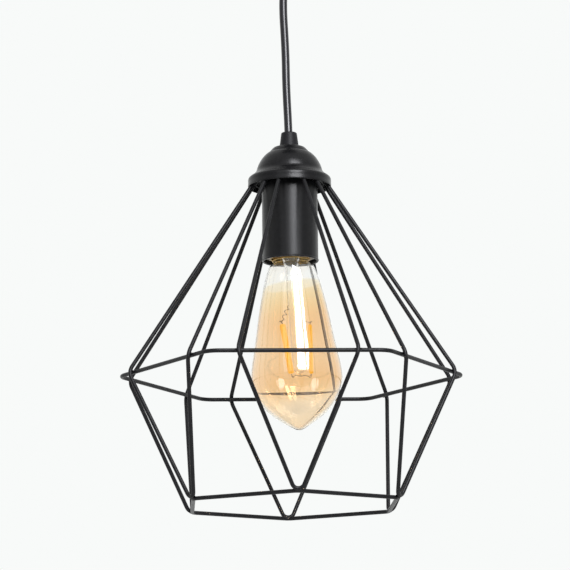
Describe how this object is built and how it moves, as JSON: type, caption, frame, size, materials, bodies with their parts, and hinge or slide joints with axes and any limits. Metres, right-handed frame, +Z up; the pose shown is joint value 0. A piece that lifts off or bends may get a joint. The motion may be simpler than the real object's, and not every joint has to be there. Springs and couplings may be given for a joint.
{
  "type": "pendant lamp",
  "caption": "Black wire-cage pendant lamp: kite-shaped wire frame with hexagon rings under a domed cap, on a cord from a ceiling cup, with an amber filament bulb.",
  "frame": {"origin": "middle of the ceiling bracket's top face, where the lamp meets the ceiling", "axes": "+Z up; the pictured side faces -Y; the belt's corners point along +X and every 60 degrees round"},
  "size_m": [0.237, 0.2148, 0.4354],
  "materials": {
    "black_metal": "satin",
    "black_wire": "satin",
    "black_plastic": "semi-gloss",
    "cord_sheath": "glossy",
    "steel": "zinc plated",
    "black_screw": "satin",
    "brass": "plain",
    "terminal_steel": "plain",
    "cream_plastic": "matt",
    "porcelain": "glazed porcelain, opaque",
    "core_live": "satin",
    "core_neutral": "satin",
    "core_earth": "satin",
    "gold_cap": "bright",
    "amber_glass": "clear at the neck, amber coated below",
    "clear_glass": "clear",
    "filament": "phosphor coated",
    "lead_wire": "plain",
    "black_glass": "glossy, opaque",
    "solder": "plain",
    "board": "matt"
  },
  "bodies": {
    "ceiling": {"ceiling_bracket": "steel", "ceiling_cup": "black_metal", "cup_screws": "black_screw", "ceiling_cord_grip": "black_plastic", "grip_nut": "steel", "grip_screw": "black_plastic", "terminal_block": "cream_plastic", "terminal_tubes": "brass", "terminal_screws": "terminal_steel", "block_screws": "steel", "ceiling_live_core": "core_live", "ceiling_earth_core": "core_earth", "ceiling_neutral_core": "core_neutral"},
    "pendant": {"cord": "cord_sheath", "cord_gland": "black_plastic", "gland_jaw": "black_plastic", "nipple": "steel", "dome_cap": "black_metal", "cap_nut": "steel", "cage_collar": "black_metal", "lock_washer": "steel", "collar_nut": "steel", "cage_wire_1": "black_wire", "cage_wire_2": "black_wire", "cage_wire_3": "black_wire", "cage_wire_4": "black_wire", "cage_wire_5": "black_wire", "cage_wire_6": "black_wire", "belt_ring": "black_wire", "foot_ring": "black_wire", "holder_sleeve": "black_metal", "holder_bracket": "steel", "bracket_screws": "steel", "holder_body": "porcelain", "screw_shell": "brass", "shell_contact": "brass", "centre_contact": "brass", "holder_terminal_screws": "terminal_steel", "lamp_live_core": "core_live", "lamp_neutral_core": "core_neutral", "lamp_earth_core": "core_earth"},
    "bulb_tip": {"cap_insulator": "black_glass", "tip_contact": "solder"},
    "bulb": {"bulb_cap": "gold_cap", "bulb_glass": "amber_glass", "glass_stem": "clear_glass", "filaments": "filament", "support_wires": "lead_wire", "driver_board": "board"}
  },
  "joints": [
    {"name": "pendant_swing", "type": "hinge", "parent": "ceiling", "child": "pendant", "pos_m": [0, 0, -0.049], "axis": [0, 1, 0], "range_deg": [-25, 25], "deforming": ["cord"]},
    {"name": "bulb_lift", "type": "slide", "parent": "pendant", "child": "bulb_tip", "axis": [0.0384, 0, -0.9993], "range_m": [0, 0.02541]},
    {"name": "bulb_turn", "type": "hinge", "parent": "bulb_tip", "child": "bulb", "pos_m": [0, 0, -0.25295], "axis": [0.0384, 0, -0.9993], "range_deg": [0, 2520]}
  ],
  "couplings": [
    {"joint": "bulb_lift", "follows": "bulb_turn", "m_per_rad": 0.00057757}
  ]
}
